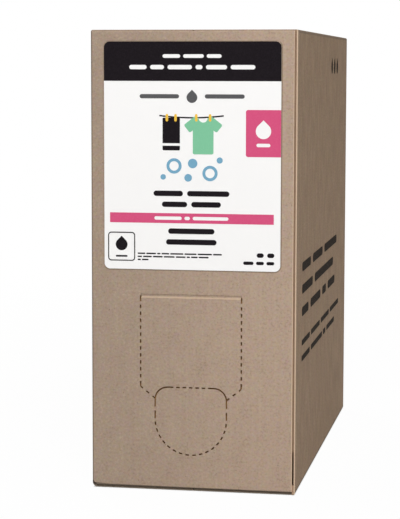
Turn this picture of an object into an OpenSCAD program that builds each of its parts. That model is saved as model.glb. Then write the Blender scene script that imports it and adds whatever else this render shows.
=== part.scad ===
// Sealed refill carton for liquid laundry detergent.
// A slotted carton of kraft corrugated board, glued shut at the top and the base.
// Low on the front panel is a perforated opening for the spout of the bag inside.
// The front panel faces -Y, the printed side panel faces +X, the base lies on Z = 0.

/* [Carton] */
// Width across the front panel
carton_w = 90; // [86:1:120]
// Depth from the front panel to the back panel
carton_d = 210; // [190:1:260]
// Height from the base to the top face
carton_h = 200; // [190:1:260]
// Thickness of the corrugated board
board_t = 1.2; // [1:0.1:1.6]
// Thickness of each paper facing of the board
facing_t = 0.2; // [0.15:0.05:0.35]
// Radius of the upright folds between the panels
fold_r = 1.2; // [0.6:0.1:2]
// Radius of the folds along the top of the side panels
top_fold_r = 0.9; // [0.5:0.1:1.5]
// Radius of the crushed fold along the left base edge
left_base_r = 2; // [1:0.1:3]
// Radius of the fold along the right base edge
right_base_r = 1; // [0.5:0.1:2]

/* [Closure flaps] */
// Gap along the middle, between the two outer flaps
flap_gap = 0.8; // [0.3:0.1:3]
// Set-back of the outer flaps' cut ends from the front and back panels
flap_setback = 1; // [0.8:0.1:2]
// Depth of the flute channel that lies open between the facings at the base flaps' cut ends
flute_recess = 0.8; // [0.8:0.1:2]
// How far the front and back panels' top folds lie below the top face
top_step = 0.5; // [0.4:0.1:0.9]
// Radius of the folds from the front and back panels to the inner flaps
panel_fold_r = 0.5; // [0.5:0.1:1.5]
// Radius of those panels' corners over the crushed fold along the left base edge
panel_corner_r = 2; // [1.5:0.1:4]

/* [Glued joint] */
// Width of the side panel's fold that shows beside the front panel
joint_fold_w = 0.6; // [0.6:0.1:1.5]
// Outer radius of that fold
joint_fold_r = 0.4; // [0.3:0.1:0.6]
// Gap between the front panel's cut edge and that fold
joint_gap = 0.8; // [0.3:0.1:1.2]
// Height at which the open slit starts
slit_start = 4; // [3:0.5:8]
// Height at which the glue tab's slanted end starts behind the slit
tab_end_start = 10.8; // [8:0.2:22]
// Length over which the slanted end reaches the front panel
tab_end_l = 8; // [3:0.2:12]
// Depth of the open slit below the glue tab
slit_d = 6; // [3:0.5:10]
// Depth of the closed crease under the slit
joint_crease_d = 0.3; // [0.2:0.1:0.6]

/* [Spout opening] */
// Sideways place of the opening's middle on the front panel
opening_x = -0.9; // [-3:0.1:3]
// Distance between the two upright rows of cuts
flap_w = 44.4; // [38:0.2:60]
// Height of the crease on which the cut-out folds up
crease_z = 85.4; // [70:0.1:86]
// Width of the crease
crease_w = 1.8; // [0.6:0.1:2.2]
// Depth of the crease
crease_d = 0.45; // [0.2:0.05:0.5]
// Height of the corners where the rows of cuts turn inwards
corner_z = 45.5; // [43:0.1:60]
// Height at which the slanting rows meet the round tab
slant_end_z = 40.4; // [37:0.1:42]
// Width of the round tab
tab_w = 31.5; // [28:0.1:36]
// Height of the round tab's flat top
tab_top_z = 45.5; // [44:0.1:60]
// Corner radius at the tab's flat top
tab_corner_r = 5.5; // [3:0.1:7]
// Height of the centre of the tab's round lower end
tab_round_z = 31.5; // [24:0.1:33]
// Width of a knife cut
cut_w = 0.65; // [0.3:0.05:0.9]
// Length of a short knife cut
cut_l = 1.6; // [1:0.1:2]
// Usual distance from one short cut to the next
cut_pitch = 3.05; // [2.6:0.05:4]
// Distance from the crease's middle down to the first cut
lead_cut_gap = 0; // [0:0.1:1]
// Length of that first cut
lead_cut_l = 2.5; // [1.5:0.1:4]
// Length of the upright arm of the cut at a lower corner
corner_cut_l = 2.4; // [1.5:0.1:3]
// Length of the slanting arm of the cut at a lower corner
slant_cut_l = 1.3; // [1:0.1:2]
// Length by which the cut round a tab corner runs on along the top
tab_lead_top = 2.6; // [1:0.1:4]
// Length by which the cut round a tab corner runs on down the side
tab_lead_side = 3.3; // [1:0.1:3.4]
// Bridge between that cut and the cut below it on the tab's side
tab_bridge = 1.7; // [1:0.1:2.5]

/* [Label] */
// Width of the paper label
label_w = 77; // [74:0.2:80]
// Height of the paper label
label_h = 98; // [95:0.5:104]
// Corner radius of the paper label
label_r = 2.5; // [1:0.1:4]
// Thickness of the paper label
label_t = 0.2; // [0.1:0.05:0.3]
// Sideways place of the label's middle on the front panel
label_x = -0.5; // [-2:0.1:2]
// Distance from the top face to the label's top edge
label_drop = 5; // [3:0.5:6]

/* [Label print] */
// Thickness of the printed ink
ink_t = 0.06; // [0.04:0.01:0.1]
// Height of the black band along the label's top
band_h = 16.8; // [14:0.1:19]
// Distance from the label's top edge to the band's first line of words
band_line_drop = 6.2; // [5:0.1:8]
// Distance between the band's two lines of words
band_line_pitch = 4.7; // [4:0.1:6]
// Height of the words on the band's first line
band_word_1 = 1.6; // [1:0.1:2]
// Height of the words on the band's second line
band_word_2 = 1.9; // [1:0.1:2]
// Overall width of the grey ornament
ornament_w = 45.6; // [30:0.2:56]
// Thickness of the ornament's two rules
ornament_rule_h = 1.8; // [1:0.1:2.6]
// Height of the drop in the middle of the ornament
ornament_drop_h = 5.6; // [4:0.1:7]
// Width of the pink tab at the label's right edge
pink_tab_w = 15.1; // [12:0.1:18]
// Height of the pink tab
pink_tab_h = 20; // [16:0.1:24]
// Corner radius of the pink tab
pink_tab_r = 1; // [0.4:0.1:2]
// Height of the white drop on the pink tab
pink_drop_h = 8; // [5:0.1:9]
// Distance between the title lines, and between the name lines
title_pitch = 4.7; // [4:0.1:5.5]
// Height of the title words
title_word = 2.3; // [1.5:0.1:2.6]
// Width of the pink stripe
stripe_w = 71.6; // [60:0.2:72.6]
// Height of the pink stripe
stripe_h = 4.3; // [3:0.1:5]
// Height of the words on the stripe
stripe_word = 1.5; // [1:0.1:2]
// Width of the framed mark at the label's lower left
mark_w = 12; // [9:0.1:13]
// Height of the framed mark
mark_h = 12.6; // [9:0.1:14]
// Line thickness of the frame round the mark
mark_line = 0.45; // [0.3:0.05:0.8]
// Distance from the label's left edge to the mark's middle
mark_inset = 7.6; // [7.4:0.1:9]
// Distance from the label's lower edge to the mark's middle
mark_rise = 9.8; // [8.5:0.1:10.5]
// Height of the smallest words
small_word = 0.6; // [0.4:0.05:0.9]
// Distance between lines of the smallest words
small_pitch = 1.35; // [1.2:0.05:1.8]
// Distance from the framed mark to the start of those lines
small_gap = 1.1; // [0.6:0.1:3]
// Distance from the label's lower edge to the first of those lines
small_rise = 6.9; // [5:0.1:8]
// Distance from the label's right edge to the amounts
amount_inset = 2.6; // [1.5:0.1:5]
// Distance from the label's lower edge to the first line of amounts
amount_rise = 6.9; // [6:0.1:8]
// Distance between the two lines of amounts
amount_pitch = 3.4; // [2.5:0.1:4]
// Height of the words on the first line of amounts
amount_word_1 = 1.9; // [1:0.1:2.4]
// Height of the words on the second line of amounts
amount_word_2 = 1.4; // [1:0.1:2]

/* [Picture] */
// Sideways place of the picture's middle on the label
picture_x = -0.2; // [-1:0.1:1]
// Width of the washing line
line_w = 28; // [26:0.1:32]
// Thickness of the washing line
line_t = 0.6; // [0.4:0.05:1]
// Radius of the washing line's sag
line_sag_r = 110; // [90:1:200]
// Distance from the washing line's ends down to the top of the washing
hang = 0.9; // [0.5:0.1:1.5]
// Distance from the washing line's left end to the towel
towel_inset = 1.4; // [0.5:0.1:2]
// Width of the towel
towel_w = 7.6; // [6:0.1:8]
// Height of the towel
towel_h = 14; // [10:0.1:15]
// Distance from the washing line's right end to the shirt's body
shirt_inset = 4.4; // [4:0.1:6]
// Width of the shirt's body
shirt_w = 9; // [7:0.1:10]
// Height of the shirt's body
shirt_h = 15.6; // [12:0.1:16]
// Length of a sleeve
sleeve_l = 6.4; // [5:0.1:6.6]
// Width of a sleeve
sleeve_w = 4.2; // [3:0.1:5]
// Slope of a sleeve in degrees
sleeve_slope = 38; // [30:1:50]
// Radius of the neck opening
neck_r = 2; // [1.4:0.1:2.4]
// Width of a clothes peg
peg_w = 1.1; // [0.8:0.1:1.4]
// Height of a clothes peg
peg_h = 3.2; // [2.4:0.1:3.6]
// Radius of the largest soap bubbles
bubble_r = 3.3; // [2:0.1:3.5]

/* [Side print] */
// Distance from the front edge to the start of the side panel's words
side_inset = 20; // [10:1:26]
// Height of the middle of the first large line
side_line_z = 97; // [90:0.5:150]
// Distance between the large lines
side_pitch = 9.9; // [8:0.1:12]
// Height of the large words
side_word = 4; // [3:0.1:4.4]
// Distance from the last large line to the first small line
side_skip = 13.8; // [10:0.1:16]
// Distance between the small lines
side_small_pitch = 7; // [5:0.1:9]
// Height of the small words
side_small_word = 2.5; // [2:0.1:2.8]
// Distance from the top face to the middle of the row of drops
side_drops_drop = 14.8; // [10:0.1:35]
// Distance from the front edge to the middle of that row
side_drops_y = 148; // [120:1:160]
// Height of each drop in the row
side_drop_h = 8; // [5:0.1:10]
// Distance from one drop to the next
side_drop_pitch = 12; // [9:0.5:14]

/* [Hidden] */
$fn = 48;
// Overshoot of a cut past the face that it opens
over = 0.5;
// Letter width of the label's words, as a share of their height
letter_share = 0.8;
// Letter width of the side panel's words, as a share of their height
side_letter_share = 2;
// Height of each line of the label above its lower edge, as a share of the label's height
ornament_share = 0.762;
picture_share = 0.678;
pink_tab_share = 0.602;
title_share = 0.337;
stripe_share = 0.228;
name_share = 0.171;
// Each soap bubble's place from the middle of the washing line, as shares of the line's width,
// and its size as a share of the largest
BUBBLES = [
    [-0.27, -0.77, 1], [0.29, -0.88, 1], [0.02, -0.73, 0.62],
    [-0.05, -0.95, 0.5], [0.44, -0.68, 0.4], [-0.44, -0.94, 0.36]
];
// Inner radius of a bubble that is drawn as a ring, as a share of its outer radius
ring_share = 0.62;

front_y = -carton_d / 2;
right_x = carton_w / 2;
// Front panel's cut edge at the glued joint
joint_x = right_x - joint_fold_w - joint_gap;
tab_r = tab_w / 2;

// Edges and lines of the label
label_top = carton_h - label_drop;
label_z = label_top - label_h;
label_left = label_x - label_w / 2;
label_right = label_x + label_w / 2;
band_z = label_top - band_h;
ornament_z = label_z + ornament_share * label_h;
picture_z = label_z + picture_share * label_h;
pink_tab_z = label_z + pink_tab_share * label_h;
title_z = label_z + title_share * label_h;
stripe_z = label_z + stripe_share * label_h;
name_z = label_z + name_share * label_h;
middle_x = label_x + picture_x;

kraft = [0.66, 0.57, 0.49];
paper_white = [0.98, 0.98, 0.98];
ink_black = [0.13, 0.11, 0.13];
ink_pink = [0.87, 0.37, 0.53];
ink_grey = [0.52, 0.53, 0.52];
ink_green = [0.49, 0.76, 0.61];
ink_blue = [0.45, 0.65, 0.76];
ink_yellow = [0.93, 0.75, 0.27];

function sum_to(list, count) = count == 0 ? 0 : list[count - 1] + sum_to(list, count - 1);

// Outlines that the pieces share

module corner_waste(r) {
    // What a rounded lower left corner takes off a square one
    difference() {
        translate([-over, -over])
            square(r + over);
        translate([r, r])
            circle(r);
    }
}

module four_corners(w, h, lower_left, lower_right, upper_right, upper_left) {
    // A rectangle centred on X and standing on zero, each corner with its own radius
    difference() {
        translate([-w / 2, 0])
            square([w, h]);
        translate([-w / 2, 0])
            corner_waste(lower_left);
        translate([w / 2, 0])
            mirror([1, 0])
                corner_waste(lower_right);
        translate([w / 2, h])
            rotate(180)
                corner_waste(upper_right);
        translate([-w / 2, h])
            mirror([0, 1])
                corner_waste(upper_left);
    }
}

module rounded_rect(w, h, r) {
    square([w - 2 * r, h], center = true);
    square([w, h - 2 * r], center = true);
    for (sx = [-1, 1], sy = [-1, 1])
        translate([sx * (w / 2 - r), sy * (h / 2 - r)])
            circle(r);
}

module pill(w, h) {
    square([w - h, h], center = true);
    for (side = [-1, 1])
        translate([side * (w - h) / 2, 0])
            circle(d = h);
}

module drop(h) {
    // A water drop: a circle with the corner of a square as its tip
    r = h / (1 + sqrt(2));
    translate([0, r - h / 2]) {
        circle(r);
        rotate(45)
            square(r);
    }
}

module words(letters, word_h, share, anchor) {
    // A line of words as rounded bars, one for each entry of letters
    // anchor is -1 for a line that starts at zero, 0 for a centred one, 1 for one that ends there
    unit = word_h * share;
    spaces = len(letters) - 1;
    line_l = unit * (sum_to(letters, len(letters)) + spaces);
    start = -line_l * (anchor + 1) / 2;
    for (i = [0:len(letters) - 1])
        translate([start + unit * (sum_to(letters, i) + i + letters[i] / 2), 0])
            pill(unit * letters[i], word_h);
}

module on_front(lift, t) {
    // Carries an outline drawn in X and Z to the front panel
    translate([0, front_y - lift, 0])
        rotate([90, 0, 0])
            linear_extrude(t)
                children();
}

module on_right(t) {
    // Carries an outline drawn in distance from the front edge and Z to the side panel
    translate([right_x, front_y, 0])
        rotate([90, 0, 90])
            linear_extrude(t)
                children();
}

// The carton's walls and closures

module side_wrap(l) {
    // Side panels with the outer flaps folded over the top and the base
    translate([0, l / 2, 0])
        rotate([90, 0, 0])
            linear_extrude(l)
                four_corners(carton_w, carton_h, left_base_r, right_base_r, top_fold_r, top_fold_r);
}

module panel_wrap() {
    // Front and back panels with the inner flaps folded in under the outer ones
    panel_h = carton_h - top_step - board_t;
    translate([-right_x, 0, board_t])
        rotate([90, 0, 90])
            linear_extrude(carton_w)
                four_corners(carton_d, panel_h, panel_fold_r, panel_fold_r, panel_fold_r, panel_fold_r);
}

module upright_folds() {
    // The four upright folds, the sharper one at the glued joint
    translate([0, front_y, 0])
        linear_extrude(carton_h)
            four_corners(carton_w, carton_d, fold_r, joint_fold_r, fold_r, fold_r);
}

module joint_fold() {
    // The side panel's fold beside the front panel, which runs the whole height
    translate([joint_x, front_y, 0])
        cube([right_x - joint_x, carton_d / 2, carton_h]);
}

module walls() {
    intersection() {
        union() {
            side_wrap(carton_d - 2 * flap_setback);
            panel_wrap();
            joint_fold();
        }
        side_wrap(carton_d);
        upright_folds();
    }
}

module flap_seams() {
    // The gaps between the outer flaps, over the inner ones
    seam_l = carton_d - 2 * flap_setback;
    for (seam_z = [-over, carton_h - board_t])
        translate([-flap_gap / 2, -seam_l / 2, seam_z])
            cube([flap_gap, seam_l, board_t + over]);
}

module panel_corners() {
    // The front and back panels' rounded corners, which stand clear of the crushed left fold
    for (side = [0, 1])
        mirror([0, side, 0])
            on_front(-flap_setback, flap_setback + over)
                translate([-right_x, board_t])
                    corner_waste(panel_corner_r);
}

module open_flute() {
    // The flute channel that each base flap's cut end lays open, closed behind by the slanting fluting
    lip = flute_recess / 4;
    end_y = carton_d / 2 - flap_setback;
    for (side = [0, 1])
        mirror([0, side, 0])
            translate([left_base_r - right_x, end_y, 0])
                rotate([90, 0, 90])
                    linear_extrude(joint_x + right_x - left_base_r)
                        polygon([
                            [over, facing_t],
                            [-lip, facing_t],
                            [-flute_recess, board_t - facing_t],
                            [over, board_t - facing_t]
                        ]);
}

module joint_slit() {
    // The gap at the glued joint, deepest where no glue tab lies behind it
    translate([joint_x, front_y, 0])
        rotate([90, 0, 90])
            linear_extrude(joint_gap)
                polygon([
                    [-over, slit_start],
                    [slit_d, slit_start],
                    [slit_d, tab_end_start],
                    [board_t, tab_end_start + tab_end_l],
                    [board_t, carton_h + over],
                    [-over, carton_h + over]
                ]);
    translate([joint_x, front_y - over, -over])
        cube([joint_gap, joint_crease_d + over, slit_start + 2 * over]);
}

// The perforated spout opening

module front_cut(x, z, turn, l) {
    // One knife cut through the front panel, turned up from level by an angle
    translate([x, front_y, z])
        rotate([0, -turn, 0])
            translate([-l / 2, -over, -cut_w / 2])
                cube([l, board_t + over, cut_w]);
}

module cut_between(from, to) {
    // One unbroken knife cut from one point to another
    span = to - from;
    middle = (from + to) / 2;
    front_cut(middle[0], middle[1], atan2(span[1], span[0]), norm(span));
}

module cut_row(from, to) {
    // Short knife cuts from one point to another, with equal bridges between them
    span = to - from;
    count = floor(norm(span) / cut_pitch);
    bridge = (norm(span) - count * cut_l) / (count + 1);
    for (i = [0:1:count - 1]) {
        place = from + span * ((i + 1) * bridge + (i + 0.5) * cut_l) / norm(span);
        front_cut(place[0], place[1], atan2(span[1], span[0]), cut_l);
    }
}

module flap_cuts() {
    // Right half of the outer rows: upright, round the corner, slanting in to the tab
    upright_x = flap_w / 2;
    lead_z = crease_z - lead_cut_gap;
    corner = [upright_x, corner_z];
    slant_end = [tab_r, slant_end_z];
    slant = (slant_end - corner) / norm(slant_end - corner);
    cut_between([upright_x, lead_z], [upright_x, lead_z - lead_cut_l]);
    cut_row([upright_x, lead_z - lead_cut_l], [upright_x, corner_z + corner_cut_l]);
    cut_between([upright_x, corner_z + corner_cut_l], corner);
    cut_between(corner, corner + slant * slant_cut_l);
    cut_row(corner + slant * slant_cut_l, slant_end - slant * cut_l);
    cut_between(slant_end - slant * cut_l, slant_end);
}

module tab_corner_cut() {
    // The unbroken cut round one upper corner of the tab
    centre_x = tab_r - tab_corner_r;
    centre_z = tab_top_z - tab_corner_r;
    translate([centre_x, front_y + board_t, centre_z])
        rotate([90, 0, 0])
            linear_extrude(board_t + over)
                intersection() {
                    difference() {
                        circle(tab_corner_r + cut_w / 2);
                        circle(tab_corner_r - cut_w / 2);
                    }
                    square(tab_r);
                }
    cut_between([centre_x - tab_lead_top, tab_top_z], [centre_x, tab_top_z]);
    cut_between([tab_r, centre_z], [tab_r, centre_z - tab_lead_side]);
}

module tab_cuts() {
    // The rest of the tab's outline: a row along its top, a cut down each side, a row round its lower end
    top_row = tab_r - tab_corner_r - tab_lead_top;
    side_top = tab_top_z - tab_corner_r - tab_lead_side - tab_bridge;
    round_l = PI * tab_r;
    round_count = floor(round_l / cut_pitch);
    bridge = (round_l - round_count * cut_l) / (round_count + 1);
    cut_row([-top_row, tab_top_z], [top_row, tab_top_z]);
    for (side = [-1, 1])
        cut_between([side * tab_r, side_top], [side * tab_r, tab_round_z]);
    for (i = [0:round_count - 1]) {
        bearing = -180 * ((i + 1) * bridge + (i + 0.5) * cut_l) / round_l;
        front_cut(tab_r * cos(bearing), tab_round_z + tab_r * sin(bearing), bearing + 90, cut_l);
    }
}

module crease() {
    // The pressed crease, a shallow round groove
    groove_r = (pow(crease_w / 2, 2) + pow(crease_d, 2)) / (2 * crease_d);
    translate([-flap_w / 2, front_y + crease_d - groove_r, crease_z])
        rotate([0, 90, 0])
            cylinder(r = groove_r, h = flap_w);
}

module spout_opening() {
    translate([opening_x, 0, 0]) {
        crease();
        tab_cuts();
        for (side = [0, 1])
            mirror([side, 0, 0]) {
                flap_cuts();
                tab_corner_cut();
            }
    }
}

module carton() {
    color(kraft)
        difference() {
            walls();
            flap_seams();
            panel_corners();
            open_flute();
            joint_slit();
            spout_opening();
        }
}

// The paper label and its inks

module label_outline() {
    translate([label_x, label_z + label_h / 2])
        rounded_rect(label_w, label_h, label_r);
}

module label() {
    color(paper_white)
        on_front(0, label_t)
            label_outline();
}

module ink(tint) {
    color(tint)
        on_front(label_t, ink_t)
            children();
}

module band() {
    // The black band with two lines of words left white
    line_z = label_top - band_line_drop;
    difference() {
        intersection() {
            label_outline();
            translate([label_left, band_z])
                square([label_w, band_h]);
        }
        translate([label_x, line_z])
            words([6, 7, 5], band_word_1, letter_share, 0);
        translate([label_x, line_z - band_line_pitch])
            words([5, 4, 7, 2, 6, 7], band_word_2, letter_share, 0);
    }
}

module title_lines() {
    // Two title lines over the stripe and two name lines under it
    translate([middle_x, title_z])
        words([7, 10], title_word, letter_share, 0);
    translate([middle_x, title_z - title_pitch])
        words([6, 7], title_word, letter_share, 0);
    translate([middle_x, name_z])
        words([11], title_word, letter_share, 0);
    translate([middle_x, name_z - title_pitch])
        words([12], title_word, letter_share, 0);
}

module framed_mark() {
    // A drop over a short word, in a rounded frame
    frame_r = mark_w / 8;
    translate([label_left + mark_inset, label_z + mark_rise]) {
        difference() {
            rounded_rect(mark_w, mark_h, frame_r);
            rounded_rect(mark_w - 2 * mark_line, mark_h - 2 * mark_line, frame_r - mark_line);
        }
        translate([0, mark_h / 9])
            drop(mark_h / 2);
        translate([0, -mark_h / 3])
            words([9], 1.2 * small_word, letter_share, 0);
    }
}

module small_lines() {
    // Three lines of the smallest words, each shorter than the last
    lines = [[7, 9, 3, 7, 12, 11, 13, 8], [4, 8, 9, 10, 9, 3, 6, 9], [3, 6]];
    start_x = label_left + mark_inset + mark_w / 2 + small_gap;
    for (i = [0:len(lines) - 1])
        translate([start_x, label_z + small_rise - i * small_pitch])
            words(lines[i], small_word, letter_share, -1);
}

module amount_lines() {
    translate([label_right - amount_inset, label_z + amount_rise])
        words([2, 2], amount_word_1, letter_share, 1);
    translate([label_right - amount_inset, label_z + amount_rise - amount_pitch])
        words([4, 3, 3], amount_word_2, letter_share, 1);
}

// The label's picture: washing on a line over soap bubbles, drawn from the middle of the line

towel_x = towel_inset + (towel_w - line_w) / 2;
shirt_x = (line_w - shirt_w) / 2 - shirt_inset;

module in_picture() {
    translate([middle_x, picture_z])
        children();
}

module washing_line() {
    centre = sqrt(pow(line_sag_r, 2) - pow(line_w / 2, 2));
    intersection() {
        translate([0, centre])
            difference() {
                circle(line_sag_r + line_t / 2, $fn = 360);
                circle(line_sag_r - line_t / 2, $fn = 360);
            }
        square(line_w, center = true);
    }
}

module towel() {
    // A towel with a pale stripe near its hem
    stripe_share = 0.08;
    hem_share = 0.1;
    stripe_y = -hang - towel_h * (1 - hem_share - stripe_share);
    difference() {
        translate([towel_x, -hang - towel_h / 2])
            rounded_rect(towel_w, towel_h, towel_w / 14);
        translate([towel_x, stripe_y])
            square([2 * towel_w, stripe_share * towel_h], center = true);
    }
}

module shirt() {
    // A shirt made up of its body, two sloping sleeves and a round neck
    corner_r = shirt_w / 12;
    translate([shirt_x, -hang])
        difference() {
            union() {
                translate([0, -shirt_h / 2])
                    rounded_rect(shirt_w, shirt_h, corner_r);
                for (side = [0, 1])
                    mirror([side, 0])
                        translate([shirt_w / 2 - corner_r, -sleeve_w / 2])
                            rotate(-sleeve_slope)
                                translate([(sleeve_l - sleeve_w) / 2, 0])
                                    rounded_rect(sleeve_l, sleeve_w, corner_r);
            }
            circle(neck_r);
        }
}

module pegs() {
    // Two pegs on the towel and two on the shirt, each gripping the line
    towel_peg = towel_w / 4;
    shirt_peg = 1.5 * neck_r;
    for (x = [towel_x - towel_peg, towel_x + towel_peg, shirt_x - shirt_peg, shirt_x + shirt_peg])
        translate([x, -hang])
            rotate(90)
                pill(peg_h, peg_w);
}

module bubbles() {
    // Soap bubbles under the washing, the largest drawn as rings
    for (bubble = BUBBLES)
        translate(line_w * [bubble[0], bubble[1]])
            difference() {
                circle(bubble_r * bubble[2]);
                if (bubble[2] == 1)
                    circle(bubble_r * ring_share);
            }
}

// One node for each ink

module black_print() {
    ink(ink_black) {
        band();
        title_lines();
        framed_mark();
        small_lines();
        amount_lines();
        in_picture()
            difference() {
                union() {
                    washing_line();
                    towel();
                }
                shirt();
                pegs();
            }
    }
}

module pink_tab() {
    // The tab at the right edge, with a drop and a short word left white
    tab_x = label_right - pink_tab_w / 2;
    difference() {
        intersection() {
            translate([label_right, pink_tab_z])
                rounded_rect(2 * pink_tab_w, pink_tab_h, pink_tab_r);
            label_outline();
        }
        translate([tab_x, pink_tab_z + pink_tab_h / 12])
            drop(pink_drop_h);
        translate([tab_x, pink_tab_z - pink_tab_h / 4])
            words([5], stripe_word, letter_share, 0);
    }
}

module stripe() {
    translate([middle_x, stripe_z])
        difference() {
            square([stripe_w, stripe_h], center = true);
            words([10, 2, 13], stripe_word, letter_share, 0);
        }
}

module pink_print() {
    ink(ink_pink) {
        pink_tab();
        stripe();
    }
}

module grey_print() {
    // An ornament: two rules with a drop between them
    rule_l = ornament_w / 2 - ornament_drop_h;
    ink(ink_grey)
        translate([label_x, ornament_z]) {
            drop(ornament_drop_h);
            for (side = [-1, 1])
                translate([side * (ornament_w - rule_l) / 2, 0])
                    pill(rule_l, ornament_rule_h);
        }
}

module green_print() {
    ink(ink_green)
        in_picture()
            difference() {
                shirt();
                pegs();
            }
}

module blue_print() {
    ink(ink_blue)
        in_picture()
            bubbles();
}

module yellow_print() {
    ink(ink_yellow)
        in_picture()
            pegs();
}

module side_print() {
    // Three large lines, two small ones and a row of drops on the side panel
    large = [[4, 5, 7], [5, 10], [3, 5, 2, 4]];
    small = [[6, 7, 7, 8], [6, 9, 2, 7]];
    small_z = side_line_z - (len(large) - 1) * side_pitch - side_skip;
    color(ink_black)
        on_right(ink_t) {
            for (i = [0:len(large) - 1])
                translate([side_inset, side_line_z - i * side_pitch])
                    words(large[i], side_word, side_letter_share, -1);
            for (i = [0:len(small) - 1])
                translate([side_inset, small_z - i * side_small_pitch])
                    words(small[i], side_small_word, side_letter_share, -1);
            for (i = [-1:1])
                translate([side_drops_y + i * side_drop_pitch, carton_h - side_drops_drop])
                    drop(side_drop_h);
        }
}

carton();
label();
black_print();
pink_print();
grey_print();
green_print();
blue_print();
yellow_print();
side_print();
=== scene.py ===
import math
from collections import namedtuple

import bpy
from mathutils import Euler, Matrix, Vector


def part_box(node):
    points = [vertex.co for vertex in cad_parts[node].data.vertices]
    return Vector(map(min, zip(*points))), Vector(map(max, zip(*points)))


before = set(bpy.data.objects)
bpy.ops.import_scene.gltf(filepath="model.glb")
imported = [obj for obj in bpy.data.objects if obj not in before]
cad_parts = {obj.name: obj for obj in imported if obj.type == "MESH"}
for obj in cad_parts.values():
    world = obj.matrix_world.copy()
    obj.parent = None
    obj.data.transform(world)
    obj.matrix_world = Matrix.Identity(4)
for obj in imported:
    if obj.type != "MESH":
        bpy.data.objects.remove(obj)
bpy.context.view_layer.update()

# Looks of a sealed kraft refill carton with a paper label. The frame is in metres, the front
# panel faces -Y, the printed side panel faces +X, and the base stands on Z = 0.

MM_PER_M = 1000.0

# Sizes that the finishes follow, in millimetres
HALF_W, HALF_D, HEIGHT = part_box("carton")[1] * MM_PER_M
FLUTE_PITCH = 3.2
JOINT_X = 43.6
JOINT_GAP = 0.8
CREASE_Z = 85.4
BOARD_T = 1.2
OVER_FLAPS = BOARD_T + 0.05
CORNER_R = 2.0
LABEL_R = 2.5

# How squarely a surface has to face forwards or back, and up or down, to count as such a panel
FACES_FRONT = 0.5
FACES_LEVEL = 0.9

# Colours as they look, 0 to 1 in sRGB
KRAFT = (0.618, 0.546, 0.482)
# Painted shade tint: the side panels are browner, for the warmer shade that falls on them
KRAFT_SIDE_SHADE_TINT = (0.667, 0.564, 0.459)
KRAFT_LIGHT = (0.74, 0.66, 0.575)
KRAFT_DARK = (0.51, 0.43, 0.355)
KRAFT_PALE = (0.775, 0.672, 0.592)
# Painted light: highlights at the joint and on the crease's lower lip, and the lightened base seam
PAINTED_LIGHT = (0.84, 0.74, 0.63)
SHADE = (0.36, 0.31, 0.24)
RAW_EDGE = (0.56, 0.51, 0.455)
# Painted shade at the folds: round the side panels, on the front's left fold and along the lower
# edge of front and back
FOLD_SHADE = (0.47, 0.415, 0.36)
# Painted shade round the lower left corner of the front and back panels
CORNER_SHADE = (0.2, 0.16, 0.13)
GAP = (0.62, 0.48, 0.365)
CUT = (0.61, 0.47, 0.31)
SPECK = (0.3, 0.21, 0.14)
PAPER = (0.965, 0.965, 0.965)
INK_BLACK = (0.08, 0.058, 0.08)
INK_PINK = (0.825, 0.318, 0.488)
INK_GREY = (0.34, 0.34, 0.35)
INK_GREEN = (0.49, 0.76, 0.61)
INK_BLUE = (0.45, 0.65, 0.76)
INK_YELLOW = (0.93, 0.75, 0.27)
INK_BOARD = (0.125, 0.095, 0.07)
FLOOR = (0.93, 0.93, 0.93)
WHITE = (1.0, 1.0, 1.0)

# The light from all round, in linear colour
GLOW = (1.0, 0.955, 0.9, 1.0)
GLOW_STRENGTH = 0.266

# The camera, in metres and degrees, and its lens and sensor in millimetres
CAMERA_PLACE = (0.1411, -0.87346, 0.18263)
CAMERA_TURN = (84.0795, -0.1045, 10.1915)
LENS = 126.36
SENSOR = 36.0

# Where a point of the board lies, in millimetres: its place, how far it lies behind the front
# panel's face, and its distance from the left, from the nearer side, from the nearer of front and
# back, and from the top
Spot = namedtuple("Spot", "x y z behind from_left from_side from_end from_top")

# One tone over the board: where it shows, from 0 to 1, how strongly, and its colour
Layer = namedtuple("Layer", "mask strength colour")


def linear(colour):
    """An sRGB colour as the linear colour that shaders take."""
    knee, slope, offset, power = 0.04045, 12.92, 0.055, 2.4
    channels = [c / slope if c <= knee else ((c + offset) / (1 + offset)) ** power for c in colour]
    return (*channels, 1.0)


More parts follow.
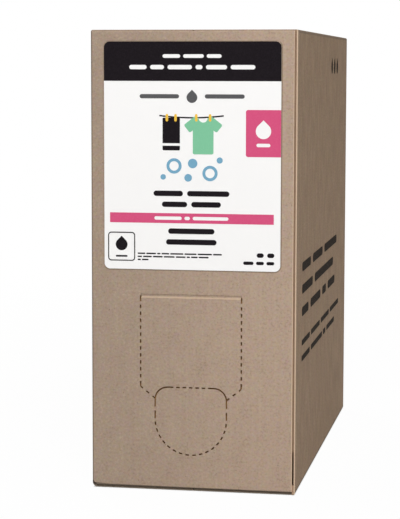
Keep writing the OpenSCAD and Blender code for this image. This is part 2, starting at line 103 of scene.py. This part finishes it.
class Graph:
    """One material's nodes. Most calls add nodes and return the socket with their result."""

    def __init__(self, name, roughness, specular):
        self.material = bpy.data.materials.new(name)
        self.material.use_nodes = True
        self.tree = self.material.node_tree
        self.shader = self.tree.nodes["Principled BSDF"]
        self.shader.inputs["Roughness"].default_value = roughness
        self.shader.inputs["Specular IOR Level"].default_value = specular

    def feed(self, socket, value):
        if isinstance(value, bpy.types.NodeSocket):
            self.tree.links.new(value, socket)
        else:
            socket.default_value = value

    def node(self, kind, inputs, **settings):
        node = self.tree.nodes.new(kind)
        for name, value in settings.items():
            setattr(node, name, value)
        for key, value in inputs.items():
            self.feed(node.inputs[key], value)
        return node

    def add(self, kind, inputs, output=0, **settings):
        return self.node(kind, inputs, **settings).outputs[output]

    def math(self, operation, a, b=0.0):
        return self.add("ShaderNodeMath", {0: a, 1: b}, operation=operation)

    def chain(self, operation, values):
        result = values[0]
        for value in values[1:]:
            result = self.math(operation, result, value)
        return result

    def times(self, *values):
        return self.chain("MULTIPLY", values)

    def plus(self, *values):
        return self.chain("ADD", values)

    def minus(self, a, b):
        return self.math("SUBTRACT", a, b)

    def most(self, *values):
        return self.chain("MAXIMUM", values)

    def least(self, *values):
        return self.chain("MINIMUM", values)

    def unsigned(self, value):
        return self.math("ABSOLUTE", value)

    def above(self, value, limit):
        """1 where value is above limit, 0 elsewhere."""
        return self.math("GREATER_THAN", value, limit)

    def below(self, value, limit):
        """1 where value is below limit, 0 elsewhere."""
        return self.math("LESS_THAN", value, limit)

    def span(self, a, b):
        """The distance over a one way and b square to it."""
        return self.math("SQRT", self.plus(self.times(a, a), self.times(b, b)))

    def step(self, value, start, end):
        """0 up to start, 1 from end on, and smooth in between."""
        inputs = {"Value": value, "From Min": start, "From Max": end}
        return self.add("ShaderNodeMapRange", inputs, interpolation_type="SMOOTHSTEP")

    def near(self, value, full, gone):
        """1 up to full, 0 from gone on, and smooth in between."""
        return self.step(value, start=gone, end=full)

    def between(self, value, low, high):
        """value, from 0 to 1, spread over low to high."""
        return self.add("ShaderNodeMapRange", {"Value": value, "To Min": low, "To Max": high})

    def choose(self, share, a, b):
        """Number a where share is 0, number b where it is 1."""
        return self.add("ShaderNodeMix", {"Factor": share, "A": a, "B": b}, output="Result")

    def blend(self, share, a, b):
        """Colour a where share is 0, colour b where it is 1."""
        inputs = {"Factor": share, "A": a, "B": b}
        return self.add("ShaderNodeMix", inputs, output="Result", data_type="RGBA")

    def overlay(self, share, colour, pattern):
        """colour made lighter and darker by pattern, each channel for itself."""
        inputs = {"Factor": share, "A": colour, "B": pattern}
        settings = {"data_type": "RGBA", "blend_type": "OVERLAY"}
        return self.add("ShaderNodeMix", inputs, output="Result", **settings)

    def place(self):
        """The point on the object, in millimetres in the frame."""
        coordinates = self.add("ShaderNodeTexCoord", {}, output="Object")
        return self.stretched(coordinates, (MM_PER_M, MM_PER_M, MM_PER_M))

    def stretched(self, vector, factors):
        return self.add("ShaderNodeVectorMath", {0: vector, 1: factors}, operation="MULTIPLY")

    def split(self, vector):
        return self.node("ShaderNodeSeparateXYZ", {0: vector}).outputs

    def noise(self, vector, size, detail=2.0, roughness=0.5):
        """Noise from 0 to 1 whose spots are about size millimetres across."""
        inputs = {"Vector": vector, "Scale": 1 / size, "Detail": detail, "Roughness": roughness}
        return self.add("ShaderNodeTexNoise", inputs)

    def tint_noise(self, vector, size, detail=2.0):
        """Noise round 0.5 in red, green and blue, strongest in blue, as in brown paper pulp."""
        inputs = {"Vector": vector, "Scale": 1 / size, "Detail": detail}
        noise = self.add("ShaderNodeTexNoise", inputs, output="Color")
        spread = (0.8, 1.0, 1.7)
        offset = [0.5 - 0.5 * channel for channel in spread]
        inputs = {0: noise, 1: spread, 2: offset}
        return self.add("ShaderNodeVectorMath", inputs, operation="MULTIPLY_ADD")

    def relief(self, height, depth):
        """Bump from a height of 0 to 1, depth millimetres tall."""
        inputs = {"Height": height, "Distance": depth / MM_PER_M, "Strength": 1.0}
        return self.add("ShaderNodeBump", inputs)

    def finish(self, colour, normal):
        self.feed(self.shader.inputs["Base Color"], colour)
        self.feed(self.shader.inputs["Normal"], normal)
        return self.material


def measure(graph):
    """The distances that the board's finish follows."""
    x, y, z = graph.split(graph.place())
    return Spot(
        x, y, z,
        behind=graph.plus(y, HALF_D),
        from_left=graph.plus(x, HALF_W),
        from_side=graph.minus(HALF_W, graph.unsigned(x)),
        from_end=graph.minus(HALF_D, graph.unsigned(y)),
        from_top=graph.minus(HEIGHT, z),
    )


def sheet_place(graph, spot, facing):
    """The point on the unfolded board: across its flutes, along them, and apart on each kind of
    panel. The flutes stand upright in the four panels and lie along X in the outer flaps."""
    front_apart, flap_apart = 300, 700
    on_front = graph.above(facing[1], FACES_FRONT)
    on_flap = graph.above(facing[2], FACES_LEVEL)
    across = graph.choose(on_front, spot.y, spot.x)
    along = graph.choose(on_flap, spot.z, spot.x)
    apart = graph.plus(graph.times(on_front, front_apart), graph.times(on_flap, flap_apart))
    return graph.add("ShaderNodeCombineXYZ", {0: across, 1: along, 2: apart})


def washboard(graph, sheet):
    """The gentle ridges that the fluting leaves in the facing, from 0.5 to 1."""
    wander = graph.between(graph.noise(sheet, size=45), low=-0.6, high=0.6)
    across = graph.split(sheet)[0]
    phase = graph.plus(graph.times(across, math.tau / FLUTE_PITCH), wander)
    return graph.between(graph.math("SINE", phase), low=0.5, high=1.0)


def fibre_noise(graph, sheet, slope):
    """Noise drawn out into fibres that run across the flutes, give or take a slope in degrees."""
    turned = graph.add("ShaderNodeVectorRotate", {"Vector": sheet, "Angle": math.radians(slope)})
    return graph.noise(graph.stretched(turned, (0.14, 1.0, 1.0)), size=0.28)


def specks(graph, sheet, spacing, size, share):
    """Small round spots: spacing and size in millimetres, and the share of places with one."""
    core = 0.4
    cell = graph.node("ShaderNodeTexVoronoi", {"Vector": sheet, "Scale": 1 / spacing})
    held = graph.below(graph.split(cell.outputs["Color"])[0], share)
    spot = graph.near(cell.outputs["Distance"], full=core * size / spacing, gone=size / spacing)
    return graph.times(held, spot)


def tone_and_painted_light(graph, spot, facing, sheet):
    """How pale the sheet is: painted light paler toward the right of the front panel, and drifting
    a little everywhere.
    """
    drift_on_front, front_rise = 0.4, 0.36
    wander = graph.between(graph.noise(sheet, size=60, detail=1.0), low=0.0, high=0.22)
    on_front = graph.times(graph.above(facing[1], FACES_FRONT), graph.below(spot.y, 0.0))
    # Painted light: the front panel grows paler toward the right
    painted_light_rise = graph.times(graph.step(spot.x, start=-HALF_W, end=HALF_W), front_rise, on_front)
    drift = graph.times(wander, graph.between(on_front, low=1.0, high=drift_on_front))
    return graph.plus(drift, painted_light_rise)


def side_streaks(graph, sheet, on_side):
    """Faint streaks on the side panels: upright along the flutes, and finer ones across them."""
    upright = graph.noise(graph.stretched(sheet, (1.0, 0.4, 1.0)), size=6.0)
    crosswise = graph.noise(graph.stretched(sheet, (0.25, 1.0, 1.0)), size=0.7)
    streaks = [graph.step(noise, start=0.3, end=0.7) for noise in (upright, crosswise)]
    return graph.times(graph.plus(*streaks), 1 / len(streaks), on_side)


def mottling(graph, sheet, clouds, ridges, bright_fibres, dark_fibres):
    """The unevenness of the sheet itself."""
    cloud_share, patch_share = 0.8, 0.2
    patches = graph.noise(graph.stretched(sheet, (1.0, 0.6, 1.0)), size=6.0)
    tone = graph.plus(graph.times(clouds, cloud_share), graph.times(patches, patch_share))
    return [
        Layer(graph.step(tone, start=0.5, end=0.7), 0.55, KRAFT_LIGHT),
        Layer(graph.near(tone, full=0.3, gone=0.5), 0.65, KRAFT_DARK),
        Layer(graph.step(bright_fibres, start=0.66, end=0.85), 0.4, KRAFT_LIGHT),
        Layer(graph.near(dark_fibres, full=0.15, gone=0.34), 0.45, KRAFT_DARK),
        Layer(graph.between(ridges, low=1.0, high=0.0), 0.09, KRAFT_DARK),
        Layer(specks(graph, sheet, spacing=3.1, size=0.3, share=0.22), 0.55, SPECK),
        Layer(specks(graph, sheet, spacing=4.3, size=0.4, share=0.2), 0.4, KRAFT_PALE),
    ]


def side_rim(graph, spot):
    """Painted shade round the side panels: dark bands along their top, base and back fold."""
    level_share, back_share, fold_depth = 0.6, 0.4, 1.0
    at_top = graph.near(spot.from_top, full=1.1, gone=1.6)
    at_base = graph.near(spot.z, full=1.3, gone=1.9)
    at_back = graph.near(graph.minus(HALF_D, spot.y), full=3.0, gone=4.0)
    level = graph.times(graph.most(at_top, at_base), level_share)
    rim = graph.most(level, graph.times(at_back, back_share))
    on_side = graph.below(spot.from_side, fold_depth)
    return graph.times(rim, on_side, graph.step(spot.behind, start=1.5, end=2.5))


def fold_wear_and_highlight(graph, spot, sheet):
    """Where the folds along the top and the right are paler, in patches: partly rubbed wear,
    partly a painted highlight.
    """
    full, gone, least_pale = 0.3, 1.4, 0.25
    at_right = graph.times(graph.above(spot.x, 0.0), graph.below(spot.y, 0.0))
    upright = graph.near(graph.most(spot.from_side, spot.from_end), full, gone)
    level = graph.near(graph.most(spot.from_end, spot.from_top), full, gone)
    patches = graph.step(graph.noise(sheet, size=2.5, detail=3.0), start=0.35, end=0.65)
    wear_and_highlight = graph.most(graph.times(upright, at_right), level)
    return graph.times(wear_and_highlight, graph.between(patches, low=least_pale, high=1.0))


def joint_lines(graph, spot):
    """Painted highlight on the front panel's cut edge and on the fold beside it, both at the glued
    joint.
    """
    edge_width, fold_share = 0.35, 0.8
    soft, sharp = 0.1, 0.08
    edge_start = JOINT_X - edge_width
    fold_start = JOINT_X + JOINT_GAP
    start = graph.step(spot.x, start=edge_start - soft, end=edge_start)
    end = graph.near(spot.x, full=JOINT_X, gone=JOINT_X + sharp)
    descent = graph.near(spot.z, full=0.1 * HEIGHT, gone=HEIGHT)
    edge = graph.times(start, end, graph.between(descent, low=0.5, high=0.9))
    fold = graph.times(graph.step(spot.x, start=fold_start - soft, end=fold_start), fold_share)
    return graph.times(graph.plus(edge, fold), graph.near(spot.behind, full=0.1, gone=0.3))


def crease_highlight(graph, spot, normal_up):
    """Painted highlight on the lower half of the crease, where it faces up."""
    lip_base, lip_top, soft_base, soft_top = CREASE_Z - 1.0, CREASE_Z - 0.2, 0.2, 0.3
    behind_face = graph.step(spot.behind, start=0.01, end=0.08)
    in_groove = graph.near(spot.behind, full=0.5, gone=0.6)
    over = graph.step(spot.z, start=lip_base, end=lip_base + soft_base)
    under = graph.near(spot.z, full=lip_top, gone=lip_top + soft_top)
    faces_up = graph.step(normal_up, start=0.05, end=0.25)
    return graph.times(behind_face, in_groove, over, under, faces_up)


def left_rim(graph, spot):
    """Painted shade on the outermost line of the front left fold."""
    on_rim = graph.near(spot.from_left, full=0.5, gone=0.75)
    return graph.times(on_rim, graph.near(spot.behind, full=1.2, gone=1.5))


def label_shade(graph, spot):
    """A thin line of shade beside the label's edges, strongest at its right and lower edge."""
    full, gone, face_depth = 0.3, 0.7, 0.1
    low, high = [corner * MM_PER_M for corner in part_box("label")]
    middle = (low + high) / 2
    reach = (high - low) / 2
    from_x = graph.minus(graph.unsigned(graph.minus(spot.x, middle.x)), reach.x - LABEL_R)
    from_z = graph.minus(graph.unsigned(graph.minus(spot.z, middle.z)), reach.z - LABEL_R)
    from_round = graph.span(graph.most(from_x, 0.0), graph.most(from_z, 0.0))
    line = graph.near(from_round, full=LABEL_R + full, gone=LABEL_R + gone)
    past_edges = graph.most(graph.minus(spot.x, high.x), graph.minus(low.z, spot.z))
    strongest = graph.step(past_edges, start=-1.0, end=0.0)
    on_face = graph.below(spot.behind, face_depth)
    return graph.times(line, on_face, graph.between(strongest, low=0.3, high=1.0))


def joint_gap(graph, spot):
    """The inside of the gap at the glued joint, behind the face of the front panel."""
    soft, deepest = 0.05, 8.0
    fold_x = JOINT_X + JOINT_GAP
    start = graph.step(spot.x, start=JOINT_X - soft, end=JOINT_X)
    end = graph.near(spot.x, full=fold_x, gone=fold_x + soft)
    behind_face = graph.step(spot.behind, start=0.15, end=0.35)
    return graph.times(start, end, behind_face, graph.below(spot.behind, deepest))


def base_edge(graph, spot):
    """Two masks of painted shade on the front and back panels: along their lower edge, wider to
    the left, and round their lower left corner."""
    height, slope, flare_height, soft = 0.25, 0.25, 0.4, 0.1
    flare = graph.times(graph.near(spot.from_left, full=2.0, gone=8.0), flare_height)
    top = graph.plus(graph.times(spot.x, -slope / HALF_W), flare, BOARD_T + height)
    level = graph.near(graph.minus(spot.z, top), full=-soft, gone=soft)

    rim_inside, rim_outside, least_x, least_z = 0.75, 0.55, 0.01, 0.3
    beyond_x = graph.most(graph.minus(CORNER_R, spot.from_left), 0.0)
    beyond_z = graph.most(graph.minus(CORNER_R + BOARD_T, spot.z), 0.0)
    from_centre = graph.span(beyond_x, beyond_z)
    rim = graph.step(from_centre, start=CORNER_R - rim_inside, end=CORNER_R - rim_outside)
    corner = graph.times(rim, graph.above(beyond_x, least_x), graph.above(beyond_z, least_z))

    panel_depth = 1.0
    shown = graph.times(graph.below(spot.from_end, panel_depth), graph.below(spot.x, JOINT_X))
    return graph.times(level, shown), graph.times(corner, shown)


def flap_ends(graph, spot):
    """The raw cut ends of the outer flaps, and the flute channel between their facings."""
    floor_gap, end_depth, past_joint = 0.01, 4.0, 0.5
    set_back = graph.step(spot.from_end, start=0.7, end=0.9)
    at_end = graph.below(spot.from_end, end_depth)
    before_joint = graph.below(spot.x, JOINT_X + past_joint)
    raised = graph.times(graph.above(spot.z, floor_gap), graph.below(spot.z, OVER_FLAPS))
    return graph.times(set_back, at_end, before_joint, raised)


def base_seam(graph, spot):
    """Painted light in the front end of the gap between the outer flaps of the base, lightening
    the shade there.
    """
    half_gap, length = 0.42, 12.0
    inside = graph.below(graph.unsigned(spot.x), half_gap)
    return graph.times(inside, graph.below(spot.behind, length), graph.below(spot.z, OVER_FLAPS))


def knife_cuts(graph, spot):
    """The knife cuts of the spout opening, behind the face and behind the crease's groove."""
    lowest, highest, farthest, deepest = 8.0, CREASE_Z + 2.0, 30.0, 2.0
    groove_depth, groove_base, soft = 0.5, CREASE_Z - 1.0, 0.1
    groove = graph.step(spot.z, start=groove_base - soft, end=groove_base)
    behind_face = graph.minus(spot.behind, graph.times(groove, groove_depth))
    inside = graph.step(behind_face, start=0.03, end=0.25)
    depth = graph.times(inside, graph.below(spot.behind, deepest))
    level = graph.times(graph.above(spot.z, lowest), graph.below(spot.z, highest))
    return graph.times(depth, level, graph.below(graph.unsigned(spot.x), farthest))


def kraft_board():
    """Kraft liner over fluting: mottled pulp, fibres and ridges, with wear, painted highlights and
    painted shade at the folds.
    """
    graph = Graph("kraft_board", roughness=0.86, specular=0.3)
    spot = measure(graph)
    normal = graph.add("ShaderNodeNewGeometry", {}, output="Normal")
    normal_up = graph.split(normal)[2]
    facing = graph.split(graph.add("ShaderNodeVectorMath", {0: normal}, operation="ABSOLUTE"))
    on_side = graph.step(facing[0], start=0.3, end=0.7)
    sheet = sheet_place(graph, spot, facing)

    ridges = washboard(graph, sheet)
    fibres = [fibre_noise(graph, sheet, slope) for slope in (4, 32, -27)]
    bright_fibres = graph.most(*fibres)
    dark_fibres = graph.least(*fibres)
    clouds = graph.noise(sheet, size=1.0, detail=4.0, roughness=0.7)
    pulp = graph.tint_noise(sheet, size=1.2, detail=3.0)
    stains = graph.tint_noise(sheet, size=4.0)
    pulp_share = 0.15
    stain_share = graph.between(on_side, low=0.055, high=0.11)
    lower_edge_shade, corner = base_edge(graph, spot)

    # The side panels take a painted shade tint, browner than the front
    colour = graph.blend(on_side, linear(KRAFT), linear(KRAFT_SIDE_SHADE_TINT))
    colour = graph.blend(tone_and_painted_light(graph, spot, facing, sheet), colour, linear(KRAFT_PALE))
    colour = graph.overlay(pulp_share, colour, pulp)
    colour = graph.overlay(stain_share, colour, stains)
    layers = [
        Layer(side_streaks(graph, sheet, on_side), 0.62, KRAFT_DARK),
        *mottling(graph, sheet, clouds, ridges, bright_fibres, dark_fibres),
        Layer(side_rim(graph, spot), 1.0, FOLD_SHADE),
        Layer(fold_wear_and_highlight(graph, spot, sheet), 0.4, KRAFT_PALE),
        Layer(joint_lines(graph, spot), 0.75, PAINTED_LIGHT),
        Layer(crease_highlight(graph, spot, normal_up), 0.4, PAINTED_LIGHT),
        Layer(left_rim(graph, spot), 0.9, FOLD_SHADE),
        Layer(label_shade(graph, spot), 0.6, SHADE),
        Layer(joint_gap(graph, spot), 0.6, GAP),
        Layer(lower_edge_shade, 1.0, FOLD_SHADE),
        Layer(corner, 1.0, CORNER_SHADE),
        Layer(flap_ends(graph, spot), 1.0, RAW_EDGE),
        Layer(base_seam(graph, spot), 1.0, PAINTED_LIGHT),
        Layer(knife_cuts(graph, spot), 1.0, CUT),
    ]
    for layer in layers:
        share = graph.times(layer.mask, layer.strength)
        colour = graph.blend(share, colour, linear(layer.colour))

    ridge_height, fibre_height, cloud_height = 0.6, 0.2, 0.2
    height = graph.plus(
        graph.times(ridges, ridge_height),
        graph.times(bright_fibres, fibre_height),
        graph.times(clouds, cloud_height),
    )
    return graph.finish(colour, graph.relief(height, depth=0.06))


def label_paper():
    """White coated paper with a faint grain."""
    grain_share = 0.02
    graph = Graph("label_paper", roughness=0.5, specular=0.4)
    grain = graph.noise(graph.place(), size=0.4, detail=3.0)
    colour = graph.blend(graph.times(grain, grain_share), linear(PAPER), linear(INK_GREY))
    return graph.finish(colour, graph.relief(grain, depth=0.01))


def label_ink(name, tint):
    """Ink on the label, a little paler where its grain is thin."""
    thinning = 0.03
    graph = Graph(name, roughness=0.5, specular=0.12)
    grain = graph.noise(graph.place(), size=0.5, detail=3.0)
    paler = [channel + (1 - channel) * thinning for channel in tint]
    colour = graph.blend(graph.step(grain, start=0.4, end=0.7), linear(tint), linear(paler))
    return graph.finish(colour, graph.relief(grain, depth=0.01))


def board_ink():
    """Matt ink on the board, which shows through where the ink is thin."""
    thinning = 0.6
    graph = Graph("board_ink", roughness=0.8, specular=0.1)
    grain = graph.noise(graph.place(), size=0.6, detail=3.0)
    thin = graph.times(graph.step(grain, start=0.5, end=0.8), thinning)
    colour = graph.blend(thin, linear(INK_BOARD), linear(KRAFT_DARK))
    return graph.finish(colour, graph.relief(grain, depth=0.02))


def dress(node, material):
    """Gives a CAD node its finish."""
    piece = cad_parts[node]
    piece.data.materials.clear()
    piece.data.materials.append(material)


def add_camera():
    """The camera of the photograph: a long lens, a little above the middle and to the right."""
    data = bpy.data.cameras.new("camera")
    data.sensor_fit = "VERTICAL"
    data.sensor_height = SENSOR
    data.lens = LENS
    data.clip_start = 0.05
    data.clip_end = 50.0
    camera = bpy.data.objects.new("camera", data)
    camera.location = CAMERA_PLACE
    camera.rotation_euler = Euler([math.radians(angle) for angle in CAMERA_TURN])
    bpy.context.scene.collection.objects.link(camera)
    bpy.context.scene.camera = camera


def add_softbox(name, place, aim, size, power):
    """A square soft lamp at place, facing aim, in metres and watts."""
    data = bpy.data.lights.new(name, "AREA")
    data.size = size
    data.energy = power
    lamp = bpy.data.objects.new(name, data)
    lamp.location = place
    lamp.rotation_euler = (Vector(aim) - Vector(place)).to_track_quat("-Z", "Y").to_euler()
    bpy.context.scene.collection.objects.link(lamp)


def add_world():
    """Even light from all round, and plain white where the camera sees it. Nothing on the carton
    is metal or glass, so reflections keep to the even light."""
    world = bpy.data.worlds.new("studio")
    world.use_nodes = True
    tree = world.node_tree
    glow = tree.nodes["Background"]
    glow.inputs["Color"].default_value = GLOW
    glow.inputs["Strength"].default_value = GLOW_STRENGTH
    white = tree.nodes.new("ShaderNodeBackground")
    white.inputs["Color"].default_value = linear(WHITE)
    white.inputs["Strength"].default_value = 1.0
    seen = tree.nodes.new("ShaderNodeLightPath")
    mix = tree.nodes.new("ShaderNodeMixShader")
    tree.links.new(seen.outputs["Is Camera Ray"], mix.inputs["Fac"])
    tree.links.new(glow.outputs[0], mix.inputs[1])
    tree.links.new(white.outputs[0], mix.inputs[2])
    tree.links.new(mix.outputs[0], tree.nodes["World Output"].inputs["Surface"])
    bpy.context.scene.world = world


def floor_material():
    """A pale floor that looks nearly white round the carton, and plain under it."""
    graph = Graph("floor", roughness=0.9, specular=0.0)
    graph.feed(graph.shader.inputs["Base Color"], linear(FLOOR))
    place = graph.place()
    x, y, _ = graph.split(place)
    beyond_x = graph.minus(graph.unsigned(x), HALF_W)
    beyond_y = graph.minus(graph.unsigned(y), HALF_D)
    beside = graph.step(graph.most(beyond_x, beyond_y), start=-1.0, end=0.0)
    distance = graph.add("ShaderNodeVectorMath", {0: place}, output="Value", operation="LENGTH")
    fade = graph.between(graph.step(distance, start=200.0, end=900.0), low=0.97, high=1.0)
    seen = graph.add("ShaderNodeLightPath", {}, output="Is Camera Ray")
    white = graph.add("ShaderNodeEmission", {})
    plain = graph.shader.outputs[0]
    share = graph.times(fade, beside, seen)
    both = graph.add("ShaderNodeMixShader", {"Fac": share, 1: plain, 2: white})
    graph.feed(graph.tree.nodes["Material Output"].inputs["Surface"], both)
    return graph.material


def add_floor():
    """A wide floor just under the base, which keeps the carton's shadow."""
    half, drop = 6.0, 0.0002
    mesh = bpy.data.meshes.new("floor")
    turns = [(-1, -1), (1, -1), (1, 1), (-1, 1)]
    corners = [(half * x, half * y, -drop) for x, y in turns]
    mesh.from_pydata(corners, [], [range(len(corners))])
    mesh.materials.append(floor_material())
    floor = bpy.data.objects.new("floor", mesh)
    bpy.context.scene.collection.objects.link(floor)


LABEL_INKS = {
    "black": INK_BLACK,
    "pink": INK_PINK,
    "grey": INK_GREY,
    "green": INK_GREEN,
    "blue": INK_BLUE,
    "yellow": INK_YELLOW,
}

dress("carton", kraft_board())
dress("label", label_paper())
for ink, tint in LABEL_INKS.items():
    dress(f"{ink}_print", label_ink(f"{ink}_ink", tint))
dress("side_print", board_ink())

add_camera()
add_world()
add_floor()
add_softbox("key", place=(0.3, -1.2, 1.3), aim=(0.0, -0.05, 0.1), size=0.5, power=20.7)
add_softbox("fill", place=(-0.9, 1.1, 0.9), aim=(0.0, 0.0, 0.1), size=0.5, power=9.0)
bpy.context.scene.view_settings.view_transform = "Standard"
